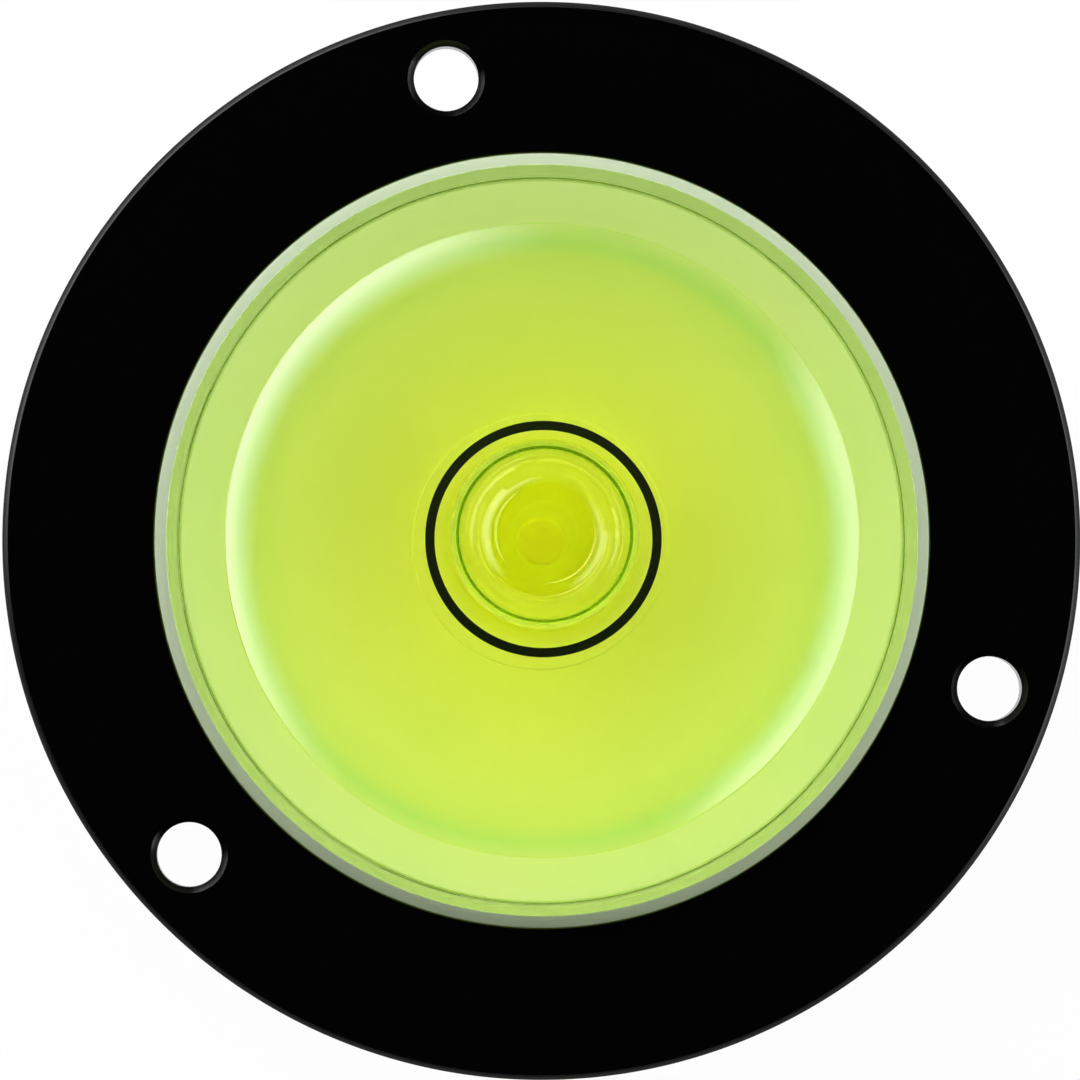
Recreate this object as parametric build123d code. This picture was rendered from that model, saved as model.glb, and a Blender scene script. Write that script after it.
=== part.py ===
# Round spirit level for screwing to a panel: a black flange with a barrel below it, and a domed vial of
# dyed liquid bonded into its bore. Millimetres, +Z up. The origin is on the axis, on the barrel's end face.
from math import asin, cos, radians, sin, sqrt
from build123d import *
import os

# Flange
flange_width = 4.8          # how far it stands out past the barrel
flange_thick = 2.0
flange_chamfer = 0.2

# Barrel below the flange
barrel_wall = 0.8
barrel_length = 5.7
barrel_chamfer = 0.3

# Screw holes, for M2 screws
screw_count = 3
screw_from_barrel = 2.3     # hole's centre to the barrel's side
screw_hole_dia = 2.4
screw_chamfer = 0.23
first_screw_angle = 90.0    # degrees from +X, so the first hole is on +Y

# Vial body: a cup that opens downwards
vial_dia = 28.7
vial_clearance = 0.05       # bonding gap all round, vial to bore
floor_thick = 1.0           # housing below the vial
bore_corner = 0.15
vial_foot_chamfer = 0.25
rim_stand_out = 0.66        # rim above the flange's face
rim_chamfer = 0.45
rim_width = 2.625           # flat rim with its chamfer, outside the crown
crown_step = 0.12           # small step from the rim up to the crown
crown_radius = 25.0
crown_edge_break = 0.06

# Inside of the vial
vial_wall = 0.95
cavity_corner = 0.35
ceiling_radius = 120.0      # the bubble moves about 2 mm for each degree of tilt
rim_thick = 1.21            # rim to the ceiling's edge

# Base disc, seated in a counterbore in the vial's mouth
base_thick = 1.5
base_seat = 0.35            # how far the counterbore is wider than the cavity, on each side
land_dia = 8.4              # shallow round land on the base's inner face
land_height = 0.1
land_edge = 0.05

# Fill plug, pressed in from below
plug_dia = 1.8
plug_stand_out = 0.1        # plug's tip above the land
plug_tip_chamfer = 0.15
plug_recess = 0.2           # plug's lower end above the base's lower face

# Reference circle, ink in a groove in the crown
circle_inner_dia = 8.0
circle_line = 0.35
circle_depth = 0.1

# Gas bubble against the ceiling
bubble_dia = 6.6            # at its widest
bubble_contact_dia = 2.2    # where it meets the ceiling
bubble_slope_radius = 5.2   # of its upper side, outside the contact
bubble_side_radius = 1.2    # of the round above the widest place
bubble_shoulder = 1.6       # of the round below the widest place
bubble_depth = 3.75         # below the ceiling
bubble_x = 0.13             # the bubble rests a little off the axis
bubble_y = 0.19

# Heights and radii that follow
flange_underside = barrel_length
flange_face = flange_underside + flange_thick
vial_foot = floor_thick
base_top = vial_foot + base_thick
bore_dia = vial_dia + 2 * vial_clearance
barrel_dia = bore_dia + 2 * barrel_wall
flange_dia = barrel_dia + 2 * flange_width
screw_circle_dia = barrel_dia + 2 * screw_from_barrel
crown_dia = vial_dia - 2 * rim_width
cavity_dia = vial_dia - 2 * vial_wall
counterbore_dia = cavity_dia + 2 * base_seat
rim_top = flange_face + rim_stand_out
crown_edge = rim_top + crown_step
crown_top = crown_edge + crown_radius - sqrt(crown_radius**2 - (crown_dia / 2) ** 2)
ceiling_rise = ceiling_radius - sqrt(ceiling_radius**2 - (cavity_dia / 2) ** 2)
ceiling_top = rim_top - rim_thick + ceiling_rise


def sphere_height(top, radius, r):
    """Height at the distance r from the axis, on a sphere whose highest point is on the axis."""
    return top - radius + sqrt(radius**2 - r**2)


def dome(top, radius):
    """The ball below that height. Its poles lie on Y, which keeps its facets even where it is used."""
    return Pos(0, 0, top - radius) * Rot(90, 0, 0) * Sphere(radius)


def turned(section):
    """The solid that a section, drawn as (radius, height), sweeps round the axis."""
    return revolve(Plane.XZ * section, Axis.Z)


# Housing
def make_housing():
    barrel_r, flange_r, bore_r = barrel_dia / 2, flange_dia / 2, bore_dia / 2
    housing = turned(
        Polygon(
            (0, 0), (barrel_r - barrel_chamfer, 0), (barrel_r, barrel_chamfer),
            (barrel_r, flange_underside), (flange_r - flange_chamfer, flange_underside),
            (flange_r, flange_underside + flange_chamfer),
            (flange_r, flange_face - flange_chamfer), (flange_r - flange_chamfer, flange_face),
            (bore_r, flange_face), (bore_r, floor_thick + bore_corner), (bore_r - bore_corner, floor_thick),
            (0, floor_thick), align=None,
        )
    )

    hole_r, mouth_r = screw_hole_dia / 2, screw_hole_dia / 2 + screw_chamfer
    screw_hole = turned(
        Polygon(
            (0, flange_underside), (mouth_r, flange_underside),
            (hole_r, flange_underside + screw_chamfer), (hole_r, flange_face - screw_chamfer),
            (mouth_r, flange_face), (0, flange_face), align=None,
        )
    )
    for i in range(screw_count):
        angle = radians(first_screw_angle + 360 / screw_count * i)
        housing -= Pos(screw_circle_dia / 2 * cos(angle), screw_circle_dia / 2 * sin(angle), 0) * screw_hole
    return housing


# Vial
def make_crown_blank():
    """The vial body as a full block, before its cavity and its groove."""
    vial_r, crown_r = vial_dia / 2, crown_dia / 2
    foot_and_rim = turned(
        Polygon(
            (0, vial_foot), (vial_r - vial_foot_chamfer, vial_foot),
            (vial_r, vial_foot + vial_foot_chamfer), (vial_r, rim_top - rim_chamfer),
            (vial_r - rim_chamfer, rim_top), (0, rim_top), align=None,
        )
    )
    break_start = crown_edge - crown_edge_break
    crown = turned(
        Polygon(
            (0, rim_top), (crown_r, rim_top), (crown_r, break_start),
            (crown_r - (crown_top - break_start), crown_top), (0, crown_top), align=None,
        )
    )
    return foot_and_rim + (crown & dome(crown_top, crown_radius))


def make_cavity():
    """The room inside the vial, from the base disc to the ceiling."""
    cavity_r = cavity_dia / 2
    corner_start = sphere_height(ceiling_top, ceiling_radius, cavity_r) - cavity_corner
    sides = turned(
        Polygon(
            (0, base_top), (cavity_r, base_top), (cavity_r, corner_start),
            (cavity_r - (ceiling_top - corner_start), ceiling_top), (0, ceiling_top), align=None,
        )
    )
    return sides & dome(ceiling_top, ceiling_radius)


def make_groove():
    """Room for the reference circle's ink, open above the crown."""
    inner_r = circle_inner_dia / 2
    outer_r = inner_r + circle_line
    floor = sphere_height(crown_top, crown_radius, (inner_r + outer_r) / 2) - circle_depth
    return Pos(0, 0, floor) * extrude(Circle(outer_r) - Circle(inner_r), crown_top - floor)


def make_base():
    counterbore_r, land_r, hole_r = counterbore_dia / 2, land_dia / 2, plug_dia / 2
    return turned(
        Polygon(
            (hole_r, vial_foot), (counterbore_r, vial_foot), (counterbore_r, base_top),
            (land_r + land_edge, base_top), (land_r, base_top + land_height),
            (hole_r, base_top + land_height), align=None,
        )
    )


def make_plug():
    plug_r = plug_dia / 2
    tip = base_top + land_height + plug_stand_out
    foot = vial_foot + plug_recess
    return turned(
        Polygon(
            (0, foot), (plug_r, foot), (plug_r, tip - plug_tip_chamfer), (plug_r - plug_tip_chamfer, tip),
            (0, tip), align=None,
        )
    )


# Bubble
def make_bubble():
    """The gas bubble, with a stub above it that reaches through the ceiling."""
    contact_r, widest_r = bubble_contact_dia / 2, bubble_dia / 2
    lowest = ceiling_top - bubble_depth

    # The slope and the side are tangent where they meet
    side_r = widest_r - bubble_side_radius
    tilt = asin(side_r / (bubble_slope_radius - bubble_side_radius))
    tilt_at_contact = asin(contact_r / bubble_slope_radius)
    slope_end = bubble_slope_radius * sin(tilt)
    slope_centre = ceiling_top - bubble_slope_radius * cos(tilt_at_contact)
    slope_foot = slope_centre + bubble_slope_radius * cos(tilt)
    widest = slope_foot - bubble_side_radius * cos(tilt)
    tilt_midway = (tilt + tilt_at_contact) / 2
    slope_middle = (
        bubble_slope_radius * sin(tilt_midway), slope_centre + bubble_slope_radius * cos(tilt_midway)
    )
    slope = ThreePointArc((contact_r, ceiling_top), slope_middle, (slope_end, slope_foot))
    side = TangentArc((slope_end, slope_foot), (widest_r, widest), tangent=(cos(tilt), -sin(tilt)))

    # So are the shoulder below the widest place and the bowl under it, which is centred on the axis
    shoulder_r, rise = widest_r - bubble_shoulder, widest - lowest
    bowl = (shoulder_r**2 + rise**2 - bubble_shoulder**2) / (2 * (rise - bubble_shoulder))
    reach = bowl - bubble_shoulder
    out, down = shoulder_r / reach, (lowest + bowl - widest) / reach
    meet = (shoulder_r + bubble_shoulder * out, widest - bubble_shoulder * down)
    shoulder = TangentArc((widest_r, widest), meet, tangent=(0, -1))
    underside = TangentArc(meet, (0, lowest), tangent=(-down, -out))

    stub = Polyline((0, lowest), (0, crown_top), (contact_r, crown_top), (contact_r, ceiling_top))
    return Pos(bubble_x, bubble_y, 0) * turned(make_face(stub + slope + side + shoulder + underside))


housing = make_housing()

cavity = make_cavity()
mouth = Pos(0, 0, vial_foot) * extrude(Circle(counterbore_dia / 2), base_thick)
blank = make_crown_blank()
groove = make_groove()
vial_body = blank - cavity - mouth - groove
reference_circle = blank & groove

vial_base = make_base()
fill_plug = make_plug()
level_liquid = cavity - vial_base - fill_plug - make_bubble()

os.makedirs("parts", exist_ok=True)
export_step(housing, "parts/housing.step")
export_step(vial_body, "parts/vial_body.step")
export_step(reference_circle, "parts/reference_circle.step")
export_step(vial_base, "parts/vial_base.step")
export_step(fill_plug, "parts/fill_plug.step")
export_step(level_liquid, "parts/level_liquid.step")
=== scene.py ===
# %% [markdown]
# # A round spirit level
# The object is a small bull's eye level: a black anodised flange with three screw holes, and in its bore
# a clear acrylic vial with yellow-green liquid, an inked circle and a gas bubble. The CAD model is loaded
# first as a fixed frame. Everything made below stands where the CAD solids stand, with finer meshes and
# with materials, so a reader can measure one against the other.

from math import acos, asin, atan2, cos, exp, pi, radians, sin, sqrt, tan

import bmesh
import bpy
from mathutils import Matrix, Vector


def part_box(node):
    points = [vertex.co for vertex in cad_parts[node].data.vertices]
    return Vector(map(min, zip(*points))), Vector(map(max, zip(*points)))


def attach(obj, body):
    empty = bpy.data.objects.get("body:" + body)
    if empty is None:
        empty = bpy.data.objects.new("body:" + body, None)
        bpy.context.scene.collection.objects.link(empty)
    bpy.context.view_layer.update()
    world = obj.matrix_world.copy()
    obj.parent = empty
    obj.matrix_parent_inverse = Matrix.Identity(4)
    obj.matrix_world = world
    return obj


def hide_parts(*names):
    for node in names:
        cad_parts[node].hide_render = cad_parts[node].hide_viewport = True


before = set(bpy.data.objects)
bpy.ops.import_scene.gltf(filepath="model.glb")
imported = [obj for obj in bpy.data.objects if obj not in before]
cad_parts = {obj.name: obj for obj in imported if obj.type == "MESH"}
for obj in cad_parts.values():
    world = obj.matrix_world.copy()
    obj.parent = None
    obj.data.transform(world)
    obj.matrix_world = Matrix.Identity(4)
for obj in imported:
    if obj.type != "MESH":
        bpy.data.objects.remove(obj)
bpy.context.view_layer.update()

# %% [markdown]
# ## Sizes
# Blender works in metres here, and a level is measured in millimetres. So each size is written in
# millimetres, as a maker would, and one constant turns it to metres. The heights come from the CAD boxes
# where a box shows them, which keeps the two models in step.

# %% Sizes of the level
MM = 0.001

flange_r, flange_underside = 20.0, 5.7
flange_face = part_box("housing")[1].z / MM
flange_chamfer, barrel_chamfer = 0.2, 0.3
barrel_r = 15.2
bore_r, bore_floor, bore_corner = 14.4, 1.0, 0.15
screw_circle_r, screw_hole_r, screw_chamfer = 17.5, 1.2, 0.23
screw_angles = (90.0, 210.0, 330.0)

vial_r, vial_foot, vial_foot_chamfer = 14.35, 1.0, 0.25
crown_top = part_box("vial_body")[1].z / MM
crown_r, crown_radius, crown_step = 11.725, 25.0, 0.12
rim_chamfer, rim_thick = 0.45, 1.21
cavity_r, cavity_corner, ceiling_radius = 13.4, 0.35, 120.0
counterbore_r, base_top = 13.75, 2.5
land_r, land_height, land_edge = 4.2, 0.1, 0.05
plug_r, plug_foot, plug_stand_out, plug_tip_chamfer = 0.9, 1.2, 0.1, 0.15

circle_inner_r, circle_outer_r, circle_depth = 4.0, 4.35, 0.1

bubble_x, bubble_y = 0.13, 0.19
bubble_r, bubble_contact_r, bubble_depth = 3.3, 1.1, 3.75
bubble_slope_radius, bubble_side_radius, bubble_shoulder = 5.2, 1.2, 1.6


def sphere_height(top, radius, r):
    """Height at the distance r from the axis, on a sphere whose highest point is on the axis."""
    return top - radius + sqrt(radius * radius - r * r)


crown_edge = sphere_height(crown_top, crown_radius, crown_r)
rim_top = crown_edge - crown_step
ceiling_top = rim_top - rim_thick + ceiling_radius - sqrt(ceiling_radius**2 - cavity_r**2)
print("heights, mm: flange", round(flange_face, 2), "rim", round(rim_top, 2))
print("height of the ceiling, mm", round(ceiling_top, 2))

# %% [markdown]
# ## Turned pieces
# The housing, the vial, the base and the plug are turned on a lathe or moulded round, so each is one
# outline swept round the axis. Blender's Screw modifier could do this, but mesh code gives control of
# where two outlines meet. The outline is a list of (radius, height) points in millimetres. A real edge is
# never quite sharp, and its small round is what catches the light, so a second helper rounds chosen
# corners of the outline before it is swept.

# %% Helpers that draw an outline
def arc(top, radius, r_from, r_to, steps):
    """Points of a flat dome's outline between two radii."""
    radii = [r_from + (r_to - r_from) * i / steps for i in range(steps + 1)]
    return [(r, sphere_height(top, radius, r)) for r in radii]


def eased(points, rounds, steps=4):
    """The outline with some corners rounded. rounds gives the radius of each corner by its place."""
    out = []
    for i, p in enumerate(points):
        if i not in rounds:
            out.append(p)
            continue
        here, before, after = Vector(p), Vector(points[i - 1]), Vector(points[(i + 1) % len(points)])
        a, b = (before - here).normalized(), (after - here).normalized()
        half = acos(max(-1.0, min(1.0, a.dot(b)))) / 2
        centre = here + (a + b).normalized() * (rounds[i] / sin(half))
        start, end = here + a * (rounds[i] / tan(half)), here + b * (rounds[i] / tan(half))
        for k in range(steps + 1):
            mid = start.lerp(end, k / steps) - centre
            out.append(tuple(centre + mid.normalized() * rounds[i]))
    return out


# %% Helpers that sweep an outline and make an object of it
on_axis = 1e-6                 # mm: a point nearer to the axis than this lies on it
weld = 1e-5                    # mm: points nearer to each other than this become one
sharp_edge = 25                # degrees: an edge that turns by more than this is drawn sharp


def piece_from(name, bm, sharp_angle=sharp_edge):
    """A Blender object from mesh data in millimetres, with normals outwards and its edges kept sharp."""
    bmesh.ops.remove_doubles(bm, verts=bm.verts, dist=weld)
    bmesh.ops.recalc_face_normals(bm, faces=bm.faces)
    bmesh.ops.scale(bm, vec=(MM, MM, MM), verts=bm.verts)
    mesh = bpy.data.meshes.new(name)
    bm.to_mesh(mesh)
    bm.free()
    mesh.shade_smooth()
    mesh.set_sharp_from_angle(angle=radians(sharp_angle))
    obj = bpy.data.objects.new(name, mesh)
    bpy.context.scene.collection.objects.link(obj)
    print(name, "faces", len(mesh.polygons))
    return obj


def turned(outline, closed=False, around=256):
    """Mesh data swept from an outline round the axis. It begins and ends there, or closes on itself."""
    bm = bmesh.new()
    rings = []
    for r, z in outline:
        if r < on_axis:
            rings.append([bm.verts.new((0, 0, z))] * around)
            continue
        turn = [2 * pi * k / around for k in range(around)]
        rings.append([bm.verts.new((r * cos(t), r * sin(t), z)) for t in turn])
    pairs = list(zip(rings, rings[1:])) + ([(rings[-1], rings[0])] if closed else [])
    for low, high in pairs:
        for k in range(around):
            n = (k + 1) % around
            corners = list(dict.fromkeys([low[k], low[n], high[n], high[k]]))
            bm.faces.new(corners)
    return bm


# %% [markdown]
# ## Housing
# One piece of aluminium: the flange, the barrel below it and the blind bore for the vial. Its outline is
# swept with tiny rounds on the edges, because an anodised edge shows as a thin bright line. The three
# screw holes lie off the axis, so no sweep can leave them open. They are cut afterwards with a Boolean
# modifier, whose result is kept as the mesh.

# %% Make the housing
housing_outline = [
    (0, 0), (barrel_r - barrel_chamfer, 0), (barrel_r, barrel_chamfer), (barrel_r, flange_underside),
    (flange_r - flange_chamfer, flange_underside), (flange_r, flange_underside + flange_chamfer),
    (flange_r, flange_face - flange_chamfer), (flange_r - flange_chamfer, flange_face),
    (bore_r, flange_face), (bore_r, bore_floor + bore_corner), (bore_r - bore_corner, bore_floor),
    (0, bore_floor),
]
edge_round = 0.03
# The corners that stand out, by their place in the outline. Number 3 is the inner corner under the flange.
rounded_corners = {i: edge_round for i in (1, 2, 4, 5, 6, 7, 8)}
housing = piece_from("housing_turned", turned(eased(housing_outline, rounded_corners), around=384))

# %% Cut the screw holes
over = 0.2                     # mm that the cutter reaches past both faces, so that no skin is left
cutter_outline = [
    (0, flange_underside - over), (screw_hole_r + screw_chamfer + over, flange_underside - over),
    (screw_hole_r, flange_underside + screw_chamfer), (screw_hole_r, flange_face - screw_chamfer),
    (screw_hole_r + screw_chamfer + over, flange_face + over), (0, flange_face + over),
]
for angle in screw_angles:
    cutter = piece_from("cutter", turned(cutter_outline, around=96))
    cutter.location = (
        screw_circle_r * MM * cos(radians(angle)), screw_circle_r * MM * sin(radians(angle)), 0,
    )
    cut = housing.modifiers.new("hole", "BOOLEAN")
    cut.operation, cut.solver, cut.object = "DIFFERENCE", "EXACT", cutter
    bpy.context.view_layer.update()
    shape = bpy.data.meshes.new_from_object(housing.evaluated_get(bpy.context.evaluated_depsgraph_get()))
    housing.modifiers.clear()
    housing.data = shape
    bpy.data.objects.remove(cutter)
housing.data.set_sharp_from_angle(angle=radians(sharp_edge))
print("housing with its holes: faces", len(housing.data.polygons))

# %% [markdown]
# ## Vial body
# A clear acrylic cup, upside down: a domed crown, a flat rim, a chamfer turned on its outer edge, and
# inside it the curved ceiling that the bubble runs on. It is one closed outline from the crown's top, down
# the outside, and back up the inside, so light bends at each real surface and nowhere else.

# %% Outside of the vial
crown_break = 0.02             # mm: tiny breaks, as turning and polishing leave them
step_fillet = 0.03
chamfer_ease = 0.02
slant_ease = 0.014             # that ease again on the 45 degree slant, inwards and down

groove_mid = sphere_height(crown_top, crown_radius, (circle_inner_r + circle_outer_r) / 2)
groove_floor = groove_mid - circle_depth
crown_outline = (
    arc(crown_top, crown_radius, 0, circle_inner_r, steps=20)
    + [(circle_inner_r, groove_floor), (circle_outer_r, groove_floor)]
    + arc(crown_top, crown_radius, circle_outer_r, crown_r - crown_break, steps=60)
)
outside = [
    (crown_r, crown_edge - crown_break), (crown_r, rim_top + step_fillet), (crown_r + step_fillet, rim_top),
    (vial_r - rim_chamfer - chamfer_ease, rim_top),
    (vial_r - rim_chamfer + slant_ease, rim_top - slant_ease),
    (vial_r - slant_ease, rim_top - rim_chamfer + slant_ease),
    (vial_r, rim_top - rim_chamfer - chamfer_ease),
    (vial_r, vial_foot + vial_foot_chamfer), (vial_r - vial_foot_chamfer, vial_foot),
    (counterbore_r, vial_foot), (counterbore_r, base_top),
]
print("groove for the ink, mm deep", circle_depth, "and wide", round(circle_outer_r - circle_inner_r, 2))

# %% Inside of the vial
ceiling_steps = 40
ceiling_edge_r = cavity_r - cavity_corner
wall_top = sphere_height(ceiling_top, ceiling_radius, cavity_r) - cavity_corner
corner = [
    (ceiling_edge_r + cavity_corner * cos(radians(a)), wall_top + cavity_corner * sin(radians(a)))
    for a in range(0, 90, 10)
]
corner_end = sphere_height(ceiling_top, ceiling_radius, ceiling_edge_r)
ceiling = arc(ceiling_top, ceiling_radius, ceiling_edge_r, 0, ceiling_steps)
inside = [(cavity_r, base_top)] + corner + ceiling
vial = piece_from("vial_cup", turned(crown_outline + outside + inside))

# %% [markdown]
# ## Base disc
# The white base disc closes the vial from below and throws the light back. It has a shallow land round its
# filling hole. Two cylinders would do for the disc and the land, but one closed outline also gives the
# land its sloping edge and leaves the hole open. Where pieces touch, a gap of a few thousandths of a
# millimetre keeps two faces from lying in one place, because a renderer can't tell which it meets first.

# %% Make the base
gap = 0.003                    # mm
base_outline = [
    (plug_r + gap, vial_foot + gap), (counterbore_r - gap, vial_foot + gap),
    (counterbore_r - gap, base_top - gap), (land_r + land_edge, base_top - gap),
    (land_r, base_top + land_height - gap), (plug_r + gap, base_top + land_height - gap),
]
base = piece_from("base_disc", turned(base_outline, closed=True))

# %% [markdown]
# ## Fill plug
# A small moulded plug closes the hole that the vial was filled through. Its tip stands a little above the
# land, where its edge shows as a small loop. A cylinder with a Bevel modifier would do as well. The outline
# is used here because the liquid, made further down, follows the same sizes.

# %% Make the plug
plug_foot_round, plug_tip_round = 0.05, 0.04
plug_tip = base_top + land_height + plug_stand_out
plug_outline = eased(
    [
        (0, plug_foot), (plug_r, plug_foot), (plug_r, plug_tip - plug_tip_chamfer),
        (plug_r - plug_tip_chamfer, plug_tip - gap), (0, plug_tip - gap),
    ],
    {1: plug_foot_round, 2: plug_tip_round, 3: plug_tip_round},
)
plug = piece_from("plug_turned", turned(plug_outline, around=96), sharp_angle=40)

# %% [markdown]
# ## Inked circle
# The black circle, which the bubble is centred in, is paint wiped into a groove in the crown. A dark band
# in the crown's material could show it too, but it would lie on the surface and not in it. So the ink is a
# ring of its own that fills the groove in the vial's outline, flush with the crown.

# %% Make the inked circle
ink_outline = [(circle_outer_r - gap, groove_floor + gap), (circle_inner_r + gap, groove_floor + gap)]
ink_outline += arc(crown_top, crown_radius, circle_inner_r + gap, circle_outer_r - gap, steps=4)
ink = piece_from("circle_ink", turned(ink_outline, closed=True))

# %% [markdown]
# ## Liquid and bubble
# The gas bubble is a hollow in the liquid. Surface tension shapes it: it touches the ceiling in a small
# disc, slopes off to its widest place, and rounds off below. A sphere would do for a tiny bubble, but this
# one is wide enough to be flattened, so its outline is four arcs, each tangent to the next. The liquid is
# one closed surface: from the bubble's lowest point up to the ceiling, out along the ceiling, down the wall
# and in along the base. The bubble sits a little off the axis, so each ring along the ceiling has its own
# centre, which slides back to the axis.

# %% Shape of the bubble
bubble_steps = 40              # points on each arc

side_r = bubble_r - bubble_side_radius
slope_tilt = asin(side_r / (bubble_slope_radius - bubble_side_radius))
contact_tilt = asin(bubble_contact_r / bubble_slope_radius)
slope_centre = bubble_slope_radius * cos(contact_tilt)
widest = slope_centre - (bubble_slope_radius - bubble_side_radius) * cos(slope_tilt)
shoulder_r, rise = bubble_r - bubble_shoulder, bubble_depth - widest
bowl = (shoulder_r**2 + rise**2 - bubble_shoulder**2) / (2 * (rise - bubble_shoulder))
bowl_turn = atan2(shoulder_r, widest - bubble_depth + bowl)

# Each arc: its centre's distance from the axis and depth, its radius, and where it starts and ends, as
# turns from straight down
bubble_rounds = (
    (0, bubble_depth - bowl, bowl, 0, bowl_turn),
    (shoulder_r, widest, bubble_shoulder, bowl_turn, pi / 2),
    (side_r, widest, bubble_side_radius, pi / 2, pi - slope_tilt),
    (0, slope_centre, bubble_slope_radius, pi - slope_tilt, pi - contact_tilt),
)
bubble_side = [
    (r + radius * sin(start + (end - start) * k / bubble_steps),
     depth + radius * cos(start + (end - start) * k / bubble_steps))
    for r, depth, radius, start, end in bubble_rounds for k in range(bubble_steps)
]
bubble_side.append((bubble_contact_r, 0))
print("bubble, mm: widest", round(max(r for r, d in bubble_side), 3), "at depth", round(widest, 3))

# %% Make the liquid
rings = [(r, None, d, 1.0) for r, d in bubble_side]
for k in range(1, ceiling_steps + 1):
    part = k / ceiling_steps
    rings.append((bubble_contact_r + (ceiling_edge_r - bubble_contact_r) * part, None, 0, 1 - part))
rings += [(r - gap, z - gap, None, 0) for r, z in reversed(corner)]
rings += [(cavity_r - gap, base_top + gap, None, 0), (land_r + land_edge, base_top + gap, None, 0)]
rings += [
    (land_r, base_top + land_height + gap, None, 0), (plug_r, base_top + land_height + gap, None, 0),
    (plug_r - plug_tip_chamfer, plug_tip + gap, None, 0), (0, plug_tip + gap, None, 0),
]

blend_depth = 0.2              # mm: nearer to the ceiling than this, the bubble's rings follow its curve
around = 256

bm = bmesh.new()
made = []
for r, z, depth, off in rings:
    cx, cy = bubble_x * off, bubble_y * off
    count = 1 if r < on_axis else around
    ring = []
    for k in range(count):
        x, y = cx + r * cos(2 * pi * k / around), cy + r * sin(2 * pi * k / around)
        if depth is None:
            height = z
        elif depth > blend_depth:
            height = ceiling_top - depth
        else:
            follow = 1 - depth / blend_depth
            fall = ceiling_top - sphere_height(ceiling_top, ceiling_radius, sqrt(x * x + y * y)) + gap
            height = ceiling_top - depth - fall * follow
        ring.append(bm.verts.new((x, y, height)))
    made.append(ring * around if count == 1 else ring)
for low, high in zip(made, made[1:]):
    for k in range(around):
        n = (k + 1) % around
        bm.faces.new(list(dict.fromkeys([low[k], low[n], high[n], high[k]])))
liquid = piece_from("liquid_fill", bm)

# %% [markdown]
# ## Where each piece belongs
# Each piece hides the CAD solid that it stands for and hangs on the body that it moves with. All of them
# ride on one body, because no part of this level moves.

# %% Say where each piece belongs
for piece, node_name, slot_name in (
    (housing, "housing", "black_anodised_aluminium"), (vial, "vial_body", "clear_acrylic"),
    (base, "vial_base", "white_acrylic"), (plug, "fill_plug", "plug_plastic"),
    (ink, "reference_circle", "black_ink"), (liquid, "level_liquid", "yellow_green_liquid"),
):
    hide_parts(node_name)
    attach(piece, "root")
    print(piece.name, "stands for", node_name)

# %% [markdown]
# ## Helpers for materials
# Colours are given as sRGB hex values, but Blender's sockets want linear light, so one function turns
# one into the other. A material is a small graph of nodes, and one function adds a node with its
# settings and its links. Both are used by every finish below.

# %% Colour and node helpers
def linear(hex_colour):
    """An sRGB hex colour as linear red, green, blue and alpha."""
    parts = [int(hex_colour[i:i + 2], 16) / 255 for i in (1, 3, 5)]
    return tuple(c / 12.92 if c <= 0.04045 else ((c + 0.055) / 1.055) ** 2.4 for c in parts) + (1.0,)


def add(tree, kind, inputs=None, **settings):
    """A new node of that kind. inputs fills its sockets with values, or with another node's output."""
    node = tree.nodes.new(kind)
    for name, value in settings.items():
        setattr(node, name, value)
    for key, value in (inputs or {}).items():
        socket = node.inputs[key]
        if isinstance(value, bpy.types.NodeSocket):
            tree.links.new(value, socket)
        else:
            socket.default_value = value
    return node


def material(name):
    """An empty material, its node tree and its output node."""
    made = bpy.data.materials.new(name)
    made.use_nodes = True
    made.node_tree.nodes.clear()
    return made, made.node_tree, add(made.node_tree, "ShaderNodeOutputMaterial")


def wear(piece, finish):
    """Gives a piece its finish. Glow isn't sampled as a lamp, because glass is always in its way."""
    finish.cycles.emission_sampling = "NONE"
    piece.data.materials.clear()
    piece.data.materials.append(finish)


# %% [markdown]
# ## Black anodised aluminium
# The housing is turned aluminium, blasted fine and anodised black. The dye sits in a thin hard oxide layer,
# so it shades like a dark plastic more than like bare metal: almost no colour of its own, and a soft
# reflection that only shows where an edge or a chamfer faces a lamp. A plain dark colour would look like
# rubber. A fine grain in the roughness and a slight bump give the satin that anodising leaves.

# %% Black anodised aluminium
blast_grain_mm = 0.12          # real blasting leaves pits of about 0.03 mm: drawn coarser, so that it shows
pit_depth_mm = 0.004

anodised, tree, out = material("black anodised aluminium, blasted satin")
where = add(tree, "ShaderNodeTexCoord")
grain = add(
    tree, "ShaderNodeTexNoise",
    {"Vector": where.outputs["Object"], "Scale": 1 / (blast_grain_mm * MM), "Detail": 3.0},
)
rough = add(
    tree, "ShaderNodeMapRange",
    {"Value": grain.outputs["Fac"], "From Min": 0.3, "From Max": 0.7, "To Min": 0.16, "To Max": 0.22},
)
pits = add(
    tree, "ShaderNodeBump",
    {"Height": grain.outputs["Fac"], "Strength": 0.25, "Distance": pit_depth_mm * MM},
)
surface = add(
    tree, "ShaderNodeBsdfPrincipled",
    {
        "Base Color": linear("#010101"), "Metallic": 0.0, "IOR": 1.5, "Specular IOR Level": 0.2,
        "Roughness": rough.outputs["Result"], "Normal": pits.outputs["Normal"],
    },
)
tree.links.new(surface.outputs["BSDF"], out.inputs["Surface"])
wear(housing, anodised)
print("anodised grain scale", round(1 / (blast_grain_mm * MM)))

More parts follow.
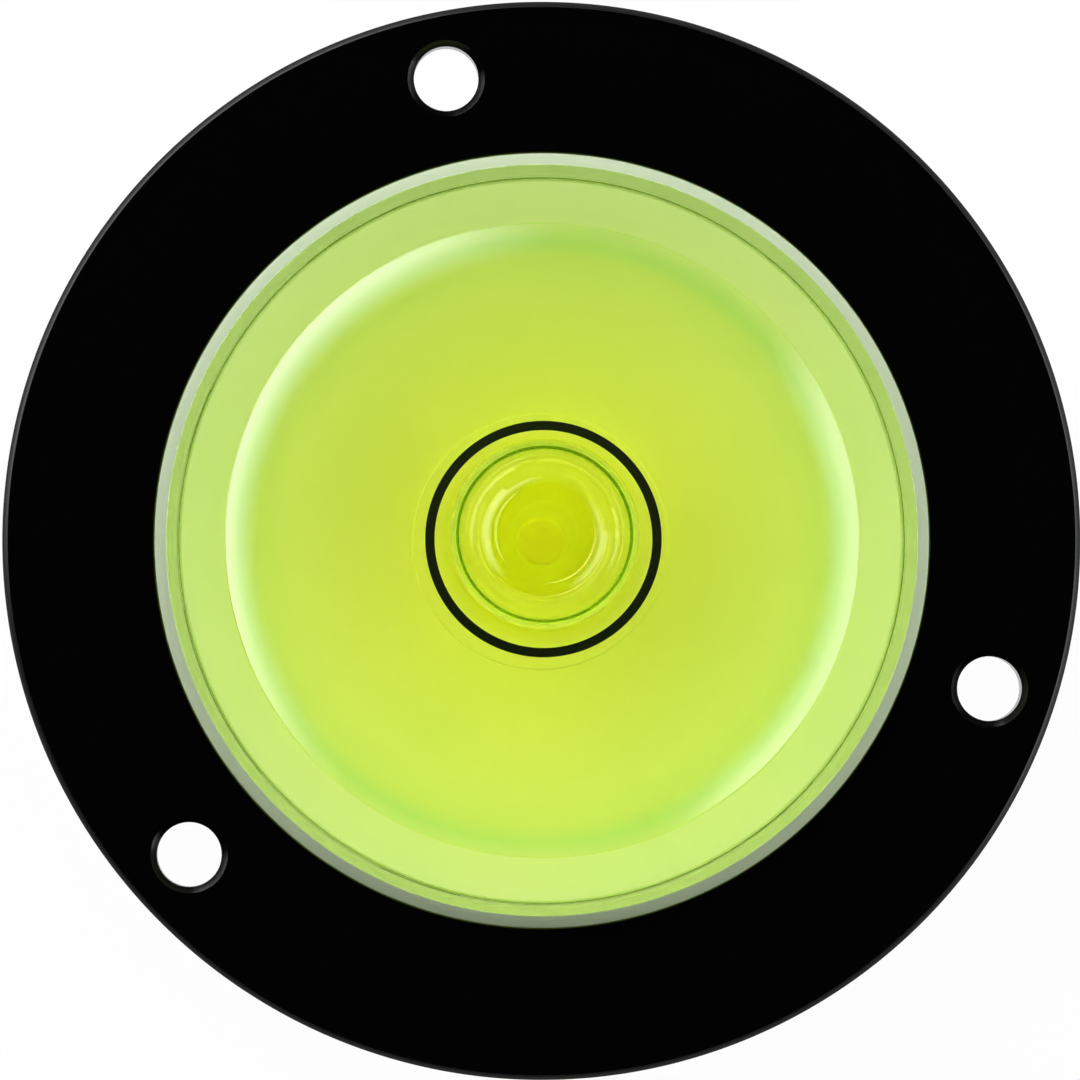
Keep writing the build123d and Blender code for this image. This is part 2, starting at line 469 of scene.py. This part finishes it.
# %% [markdown]
# ## Clear acrylic
# The vial is cast acrylic, a clear plastic of index 1.49. One glass material all over would be simpler,
# but the making left it four finishes, so each face of the mesh gets the finish of its place. The crown is
# polished and bends light as glass does. Where acrylic meets the liquid, light bends by the ratio of the
# two indices only, which is much less, except in the small disc where the bubble's gas lies against the
# ceiling. The other two finishes, the matt chamfer and the bonded side, come after these.

# %% Clear acrylic, polished and wetted
acrylic_index, liquid_index = 1.49, 1.37

acrylic, tree, out = material("clear cast acrylic")
polished = add(tree, "ShaderNodeBsdfGlass", {"Roughness": 0.0, "IOR": acrylic_index})
tree.links.new(polished.outputs["BSDF"], out.inputs["Surface"])

wetted, tree, out = material("clear acrylic, wetted by the liquid")
where = add(tree, "ShaderNodeTexCoord")
from_bubble = add(
    tree, "ShaderNodeVectorMath",
    {0: where.outputs["Object"], 1: (bubble_x * MM, bubble_y * MM, 0)}, operation="SUBTRACT",
)
flat = add(
    tree, "ShaderNodeVectorMath", {0: from_bubble.outputs["Vector"], 1: (1, 1, 0)}, operation="MULTIPLY",
)
distance = add(tree, "ShaderNodeVectorMath", {0: flat.outputs["Vector"]}, operation="LENGTH")
dry = add(
    tree, "ShaderNodeMath",
    {0: distance.outputs["Value"], 1: bubble_contact_r * MM}, operation="LESS_THAN",
)
wet_side = add(tree, "ShaderNodeBsdfGlass", {"Roughness": 0.0, "IOR": acrylic_index / liquid_index})
dry_side = add(tree, "ShaderNodeBsdfGlass", {"Roughness": 0.0, "IOR": acrylic_index})
sides = add(
    tree, "ShaderNodeMixShader",
    {0: dry.outputs["Value"], 1: wet_side.outputs["BSDF"], 2: dry_side.outputs["BSDF"]},
)
tree.links.new(sides.outputs["Shader"], out.inputs["Surface"])
print("ratio of the two indices", round(acrylic_index / liquid_index, 3))

# %% [markdown]
# ## Turned chamfer
# The vial's outer edge is turned to a chamfer and left as the tool left it, with fine rings that run round
# it. Rings that fine scatter nearly all the light, so the edge looks grey-white and hardly clear. Most of
# the shader is therefore a pale diffuse one, with a green tint painted in for the liquid's light that the
# edge scatters, and the rest is rough glass. The rings could be cut into the mesh, but they are hardly
# wider than a pixel, so they are a bump from a noise that changes with height.

# %% Clear acrylic, turned matt
matt_mark_mm = 0.06            # from one ring to the next, as the tool moves on
mark_depth_mm = 0.01
scattered = 0.95               # the share of light that is scattered

matt, tree, out = material("clear acrylic, turned matt")
where = add(tree, "ShaderNodeTexCoord")
across = add(tree, "ShaderNodeSeparateXYZ", {"Vector": where.outputs["Object"]})
marks = add(
    tree, "ShaderNodeTexNoise",
    {"W": across.outputs["Z"], "Scale": 1 / (matt_mark_mm * MM), "Detail": 2.0}, noise_dimensions="1D",
)
ridges = add(
    tree, "ShaderNodeBump",
    {"Height": marks.outputs["Fac"], "Strength": 0.5, "Distance": mark_depth_mm * MM},
)
clear_part = add(
    tree, "ShaderNodeBsdfGlass",
    {"Roughness": 0.35, "IOR": acrylic_index, "Normal": ridges.outputs["Normal"]},
)
# Painted light: the green tint of this pale colour, for the liquid's glow scattered in the chamfer.
diffuse_with_painted_green = add(
    tree, "ShaderNodeBsdfDiffuse",
    {"Color": linear("#A6B298"), "Roughness": 0.5, "Normal": ridges.outputs["Normal"]},
)
mixed = add(
    tree, "ShaderNodeMixShader",
    {0: scattered, 1: clear_part.outputs["BSDF"], 2: diffuse_with_painted_green.outputs["BSDF"]},
)
tree.links.new(mixed.outputs["Shader"], out.inputs["Surface"])
print("turning marks, scale", round(1 / (matt_mark_mm * MM)))

# %% [markdown]
# ## Bonded side
# The vial's side and foot are glued into the housing, so light can't leave there, and the glue throws it
# back. A fluorescent dye also turns the blue that it swallows into green light, which fills the plastic
# round it. The renderer doesn't work that out, so this finish has painted light: a green tint and a
# painted glow of its own, both brighter and paler at the foot beside the base.

# %% Bonded side
glue_patch_mm = 0.8            # where the glue lies thicker
foot_top = base_top + 0.1      # mm: the glow is full up to this height
foot_fades_by = base_top + 0.4

bonded, tree, out = material("bonded side of the acrylic, with painted glow")
where = add(tree, "ShaderNodeTexCoord")
smear = add(
    tree, "ShaderNodeTexNoise",
    {"Vector": where.outputs["Object"], "Scale": 1 / (glue_patch_mm * MM), "Detail": 2.0},
)
up_the_side = add(tree, "ShaderNodeSeparateXYZ", {"Vector": where.outputs["Object"]})
painted_foot_light = add(
    tree, "ShaderNodeMapRange",
    {"Value": up_the_side.outputs["Z"], "From Min": foot_fades_by * MM, "From Max": foot_top * MM},
)
# Painted light: a darker green up the side and a paler green at the foot, beside the glowing base.
tint = add(
    tree, "ShaderNodeMix",
    {0: painted_foot_light.outputs["Result"], 6: linear("#A8CC40"), 7: linear("#DCF098")}, data_type="RGBA",
)
tint = add(
    tree, "ShaderNodeMix",
    {0: smear.outputs["Fac"], 6: tint.outputs[2], 7: linear("#EEF2EC")}, data_type="RGBA",
    blend_type="MULTIPLY",
)
# The painted glow is 0.12 up the side and 0.42 at the foot.
strength = add(
    tree, "ShaderNodeMapRange", {"Value": painted_foot_light.outputs["Result"], "To Min": 0.12, "To Max": 0.42},
)
glue = add(tree, "ShaderNodeBsdfDiffuse", {"Color": tint.outputs[2]})
painted_glow = add(tree, "ShaderNodeEmission", {"Color": tint.outputs[2], "Strength": strength.outputs["Result"]})
with_painted_glow = add(tree, "ShaderNodeAddShader", {0: glue.outputs["BSDF"], 1: painted_glow.outputs["Emission"]})
tree.links.new(with_painted_glow.outputs["Shader"], out.inputs["Surface"])

bonded.cycles.emission_sampling = "NONE"
print("glue patches, scale", round(1 / (glue_patch_mm * MM)))

# %% Share the four finishes out over the vial's faces
slack = 0.01                   # mm, for faces that lie just off a size

for finish in (acrylic, wetted, matt, bonded):
    vial.data.materials.append(finish)
counts = [0, 0, 0, 0]
for face in vial.data.polygons:
    r, z = Vector(face.center[:2]).length / MM, face.center[2] / MM
    wet = r < cavity_r + slack and z < ceiling_top + slack
    below_chamfer = r > cavity_r + slack and z < rim_top - rim_chamfer - slack
    on_chamfer = r > vial_r - rim_chamfer and z < rim_top - slack / 2
    face.material_index = 1 if wet else 3 if below_chamfer else 2 if on_chamfer else 0
    counts[face.material_index] += 1
print("vial faces polished, wetted, matt, bonded:", counts)

# %% [markdown]
# ## Dyed liquid
# Level fluid is a light spirit with a fluorescent yellow-green dye. The dye swallows most of the blue on
# the light's way down to the base and up again, and passes nearly all of the red and green. So the colour
# is absorption in a volume, and comes from the depth of liquid and not from its surface. The liquid's outer
# faces touch acrylic, which has bent the light already, so they are left clear. Only the bubble's wall
# bends light again, as the step from liquid to gas does. That wall is tinted a little, because light that
# comes through the bubble crosses less dye and would look too pale.

# %% Dyed liquid
dye_density = 100.0            # per metre, so that 10 mm of liquid swallows almost two thirds of the blue
# Shares of red, green and blue that the dye passes. No such colour is seen, so they stay linear.
dye_passes = (0.95, 0.975, 0.0, 1)

dyed, tree, out = material("dyed level liquid")
bubble_wall = add(tree, "ShaderNodeAttribute", attribute_name="bubble_wall")
gas_side = add(
    tree, "ShaderNodeBsdfGlass", {"Color": linear("#FFFFDA"), "Roughness": 0.0, "IOR": liquid_index},
)
no_bend = add(tree, "ShaderNodeBsdfTransparent")
walls = add(
    tree, "ShaderNodeMixShader",
    {0: bubble_wall.outputs["Fac"], 1: no_bend.outputs["BSDF"], 2: gas_side.outputs["BSDF"]},
)
dye = add(tree, "ShaderNodeVolumeAbsorption", {"Color": dye_passes, "Density": dye_density})
tree.links.new(walls.outputs["Shader"], out.inputs["Surface"])
tree.links.new(dye.outputs["Volume"], out.inputs["Volume"])
wear(liquid, dyed)
print("share of blue left after 10 mm:", round(exp(-dye_density * (1 - dye_passes[2]) * 10 * MM), 2))

# %% Mark the bubble's wall
ceiling_skin = 0.03            # mm: faces nearer to the ceiling than this lie against it

mask = liquid.data.attributes.new("bubble_wall", "FLOAT", "FACE")
for face in liquid.data.polygons:
    x, y = face.center[0] / MM - bubble_x, face.center[1] / MM - bubble_y
    below = ceiling_top - face.center[2] / MM
    near = sqrt(x * x + y * y) < bubble_r + slack and below < bubble_depth + slack
    on_ceiling = below < ceiling_skin and sqrt(x * x + y * y) > bubble_contact_r
    mask.data[face.index].value = 1.0 if near and not on_ceiling else 0.0
print("bubble wall faces", sum(1 for v in mask.data if v.value > 0.5))

# %% [markdown]
# ## Opal base
# The base is opal white acrylic: a milky plastic that throws back nearly all the light that the dye lets
# through, and so lights the whole vial. The dye's own glow falls on it too, and the renderer doesn't work
# that out. So the disc has a painted glow of its own, and painted light in its colour: a ramp takes it
# from yellow in the middle to pale green at the edge, paler where light also comes in through the wall.
# A faint cloud breaks it up.

# %% Opal base
opal_cloud_mm = 7.0            # a slow drift of tone, a quarter of the base wide
ramp_reach = 14.0              # mm from the axis at which the ramp ends
glow_grows_from, glow_grows_to = 8.0, 13.0
# Painted light: the ramp's colours stand for the dye's glow on the white base, paler toward the edge.
base_painted_light_colours = (
    (0.2, "#CAD21C"), (0.26, "#D8E060"), (0.6, "#DCEA86"), (0.69, "#D4E888"), (0.73, "#C4E48C"),
    (0.8, "#DEF0AC"), (1.0, "#E0EDC0"),
)

opal, tree, out = material("opal white acrylic")
where = add(tree, "ShaderNodeTexCoord")
cloud = add(
    tree, "ShaderNodeTexNoise",
    {"Vector": where.outputs["Object"], "Scale": 1 / (opal_cloud_mm * MM), "Detail": 2.0},
)
across = add(
    tree, "ShaderNodeVectorMath", {0: where.outputs["Object"], 1: (1, 1, 0)}, operation="MULTIPLY",
)
out_from = add(tree, "ShaderNodeVectorMath", {0: across.outputs["Vector"]}, operation="LENGTH")
spread = add(
    tree, "ShaderNodeMapRange",
    {"Value": out_from.outputs["Value"], "From Max": ramp_reach * MM},
)
tint = add(tree, "ShaderNodeValToRGB", {"Fac": spread.outputs["Result"]})
stops = tint.color_ramp.elements
stops[0].position, stops[1].position = base_painted_light_colours[0][0], base_painted_light_colours[-1][0]
stops[0].color, stops[1].color = linear(base_painted_light_colours[0][1]), linear(base_painted_light_colours[-1][1])
for place, colour in base_painted_light_colours[1:-1]:
    stops.new(place).color = linear(colour)
tint = add(
    tree, "ShaderNodeMix",
    {0: cloud.outputs["Fac"], 6: tint.outputs["Color"], 7: linear("#EEFBF0")}, data_type="RGBA",
    blend_type="MULTIPLY",
)
surface = add(tree, "ShaderNodeBsdfDiffuse", {"Color": tint.outputs[2]})
# Painted glow: 0.5 in the middle, growing to 0.6 near the edge.
painted_edge_glow = add(
    tree, "ShaderNodeMapRange",
    {
        "Value": out_from.outputs["Value"], "From Min": glow_grows_from * MM,
        "From Max": glow_grows_to * MM, "To Min": 0.5, "To Max": 0.6,
    },
)
painted_glow = add(
    tree, "ShaderNodeEmission", {"Color": tint.outputs[2], "Strength": painted_edge_glow.outputs["Result"]},
)
with_painted_glow = add(tree, "ShaderNodeAddShader", {0: surface.outputs["BSDF"], 1: painted_glow.outputs["Emission"]})
tree.links.new(with_painted_glow.outputs["Shader"], out.inputs["Surface"])
wear(base, opal)
print("opal clouds, scale", round(1 / (opal_cloud_mm * MM)), "and ramp stops", len(stops))

# %% [markdown]
# ## Moulded plug
# The plug is a white plastic, moulded and left with its slight mottle. The liquid wets it, so its gloss
# comes from the small step between two indices and is weak. Like the base it stands in the dye's glow,
# so it gets painted light: the yellow of the base's middle and a painted glow of its own.

# %% Moulded plug
plug_mottle_mm = 0.4

plug_painted_glow_finish, tree, out = material("moulded plug plastic, with painted glow")
where = add(tree, "ShaderNodeTexCoord")
mottle = add(
    tree, "ShaderNodeTexNoise",
    {"Vector": where.outputs["Object"], "Scale": 1 / (plug_mottle_mm * MM), "Detail": 2.0},
)
# Painted light: two close yellows of the dye's glow for the mottle, and a painted glow of strength 0.47.
tint = add(
    tree, "ShaderNodeMix",
    {0: mottle.outputs["Fac"], 6: linear("#C4CA14"), 7: linear("#CAD01A")}, data_type="RGBA",
)
surface = add(
    tree, "ShaderNodeBsdfPrincipled",
    {
        "Base Color": tint.outputs[2], "Roughness": 0.5, "IOR": acrylic_index / liquid_index,
        "Emission Color": tint.outputs[2], "Emission Strength": 0.47,
    },
)
tree.links.new(surface.outputs["BSDF"], out.inputs["Surface"])
wear(plug, plug_painted_glow_finish)
print("plug mottle, scale", round(1 / (plug_mottle_mm * MM)))

# %% [markdown]
# ## Filling ink
# The ink is a black filling paint, wiped flush and dried with a slight sheen. Its black has a trace of
# green painted in, for the glowing vial's light that comes through the thin paint. A fine mottle keeps it
# from looking printed.

# %% Filling ink
ink_mottle_mm = 0.15

ink_finish, tree, out = material("black filling ink")
where = add(tree, "ShaderNodeTexCoord")
mottle = add(
    tree, "ShaderNodeTexNoise",
    {"Vector": where.outputs["Object"], "Scale": 1 / (ink_mottle_mm * MM), "Detail": 2.0},
)
# Painted light: the trace of green in the black.
tint = add(
    tree, "ShaderNodeMix",
    {0: mottle.outputs["Fac"], 6: linear("#0C1402"), 7: linear("#121A04")}, data_type="RGBA",
)
surface = add(tree, "ShaderNodeBsdfPrincipled", {"Base Color": tint.outputs[2], "Roughness": 0.22})
tree.links.new(surface.outputs["BSDF"], out.inputs["Surface"])
wear(ink, ink_finish)
print("ink mottle, scale", round(1 / (ink_mottle_mm * MM)))

# %% [markdown]
# ## Table
# The level lies on a plain white table. Lamps strong enough to turn lit paper quite white would bleach the
# level too. So the table shows itself to the camera, and in gloss and glass, mostly as a plain white of
# strength 1. The rest is lit paper, which keeps a trace of the level's shadow.

# %% Table
floor_reach = 3.0              # metres from the level to the table's edge
plain_share = 0.96             # how much of what is seen of the table is plain white

floor_bm = bmesh.new()
bmesh.ops.create_grid(floor_bm, x_segments=8, y_segments=8, size=floor_reach)
floor_mesh = bpy.data.meshes.new("table")
floor_bm.to_mesh(floor_mesh)
floor_bm.free()
floor = bpy.data.objects.new("table", floor_mesh)
bpy.context.scene.collection.objects.link(floor)

table, tree, out = material("white table")
path = add(tree, "ShaderNodeLightPath")
seen = add(
    tree, "ShaderNodeMath",
    {0: path.outputs["Is Camera Ray"], 1: path.outputs["Is Glossy Ray"]}, operation="MAXIMUM",
)
seen = add(
    tree, "ShaderNodeMath",
    {0: seen.outputs["Value"], 1: path.outputs["Is Transmission Ray"]}, operation="MAXIMUM",
)
share = add(tree, "ShaderNodeMath", {0: seen.outputs["Value"], 1: plain_share}, operation="MULTIPLY")
paper = add(tree, "ShaderNodeBsdfDiffuse", {"Color": linear("#F4F4F4")})
white = add(tree, "ShaderNodeEmission", {"Color": (1, 1, 1, 1), "Strength": 1.0})
mixed = add(
    tree, "ShaderNodeMixShader",
    {0: share.outputs["Value"], 1: paper.outputs["BSDF"], 2: white.outputs["Emission"]},
)
tree.links.new(mixed.outputs["Shader"], out.inputs["Surface"])
wear(floor, table)
print("table, metres across", 2 * floor_reach)

# %% [markdown]
# ## Light tent
# Small shiny things are often photographed in a tent of white cloth, lit from outside, with an opening
# above for the camera. Area lamps could stand for its lit parts, but a world shader draws them by direction
# alone, so no lamp has to be placed. Two bright strips, left and right of the dark opening, make the curved
# highlights on the crown and in the bubble. A wide, weaker wall below them gives most of the light, and two
# low strips catch the flange's edge.

# %% Directions in the tent
photo_turn = 11.7              # the photograph shows the part turned by this much, in degrees

world = bpy.data.worlds.new("light tent")
bpy.context.scene.world = world
world.use_nodes = True
# Aiming rays at the tent's bright parts costs half of the time and fails behind clear plastic
world.cycles.sampling_method = "NONE"
tree = world.node_tree
tree.nodes.clear()
toward = add(tree, "ShaderNodeTexCoord")
height = add(tree, "ShaderNodeSeparateXYZ", {"Vector": toward.outputs["Generated"]})
level = add(
    tree, "ShaderNodeVectorMath", {0: toward.outputs["Generated"], 1: (1, 1, 0)}, operation="MULTIPLY",
)
level = add(tree, "ShaderNodeVectorMath", {0: level.outputs["Vector"]}, operation="NORMALIZE")
print("the photograph turns the level by", photo_turn, "degrees")


# %% Helpers for one lit part of the tent
def between(value, zero, one):
    """A soft step from 0 to 1 as the value goes from one number to the other."""
    return add(
        tree, "ShaderNodeMapRange", {"Value": value, "From Min": zero, "From Max": one},
        interpolation_type="SMOOTHSTEP",
    ).outputs["Result"]


def times(a, b):
    """A node's output that is a times b."""
    return add(tree, "ShaderNodeMath", {0: a, 1: b}, operation="MULTIPLY").outputs["Value"]


def plus(a, b):
    """A node's output that is a plus b."""
    return add(tree, "ShaderNodeMath", {0: a, 1: b}, operation="ADD").outputs["Value"]


def wall(azimuth, core, fade, opens, ends, strength):
    """One lit part of the tent, with its angles in degrees. It is bright to the angle core on each side of
    its azimuth and dark from the angle fade. opens and ends are counted from the zenith."""
    a = radians(azimuth - photo_turn)
    ahead = add(
        tree, "ShaderNodeVectorMath",
        {0: level.outputs["Vector"], 1: (cos(a), sin(a), 0)}, operation="DOT_PRODUCT",
    )
    wide = between(ahead.outputs["Value"], cos(radians(fade)), cos(radians(core)))
    below_opening = between(height.outputs["Z"], cos(radians(opens[0])), cos(radians(opens[1])))
    above_end = between(height.outputs["Z"], cos(radians(ends[1])), cos(radians(ends[0])))
    return times(times(wide, times(below_opening, above_end)), strength)


# %% Light the tent
strips = plus(
    wall(azimuth=158, core=25, fade=75, opens=(50, 58), ends=(59, 62), strength=11.5),
    wall(azimuth=-12, core=28, fade=55, opens=(51, 58), ends=(59, 62), strength=7.0),
)
horizon = plus(
    wall(azimuth=140, core=25, fade=50, opens=(82, 86), ends=(94, 100), strength=7.5),
    wall(azimuth=0, core=20, fade=40, opens=(82, 86), ends=(94, 100), strength=6.0),
)
low_wall = wall(azimuth=80, core=95, fade=115, opens=(58, 64), ends=(76, 80), strength=6.5)
dim = 0.02                     # what the rest of the tent gives
tent = plus(plus(strips, horizon), plus(low_wall, dim))
lit = add(tree, "ShaderNodeBackground", {"Color": (1, 1, 1, 1), "Strength": tent})
plain = add(tree, "ShaderNodeBackground", {"Color": (1, 1, 1, 1), "Strength": 1.0})
path = add(tree, "ShaderNodeLightPath")
both = add(
    tree, "ShaderNodeMixShader",
    {0: path.outputs["Is Camera Ray"], 1: lit.outputs["Background"], 2: plain.outputs["Background"]},
)
out = add(tree, "ShaderNodeOutputWorld", {"Surface": both.outputs["Shader"]})
print("nodes that draw the tent", len(tree.nodes))

# %% [markdown]
# ## Camera
# The camera looks almost straight down, about a degree off the axis, as in the photograph. Its lens could
# be set by eye, but it follows from the distance and from how wide the picture is at the flange's face, so
# that the flange fills as much of the picture as in the photograph. A small shift does the rest, because
# the flange isn't quite in the middle there.

# %% Camera
image_px = 1080
flange_px = 1079               # the flange's diameter in the photograph
shift_px = (-1.9, 0.4)         # moves the flange to its place in the photograph
camera_distance = 0.385        # metres
camera_tilt, camera_side = 1.3, 221.0
frame_width_mm = 2 * flange_r * image_px / flange_px

camera = bpy.data.objects.new("camera", bpy.data.cameras.new("camera"))
bpy.context.scene.collection.objects.link(camera)
bpy.context.scene.camera = camera
side = radians(camera_side - photo_turn)
back = Vector((sin(radians(camera_tilt)) * cos(side), sin(radians(camera_tilt)) * sin(side), 0))
back.z = cos(radians(camera_tilt))
up = Vector((cos(radians(90 - photo_turn)), sin(radians(90 - photo_turn)), 0))
up = (up - back * up.dot(back)).normalized()
right = up.cross(back)
target = Vector((0, 0, flange_face * MM))
camera.matrix_world = Matrix.Translation(target + back * camera_distance) @ Matrix(
    (right, up, back)
).transposed().to_4x4()
camera.data.lens = camera.data.sensor_width * camera_distance / (frame_width_mm * MM)
camera.data.shift_x, camera.data.shift_y = shift_px[0] / image_px, shift_px[1] / image_px
print("lens", round(camera.data.lens, 1), "mm")

bpy.context.scene.view_settings.view_transform = "Standard"
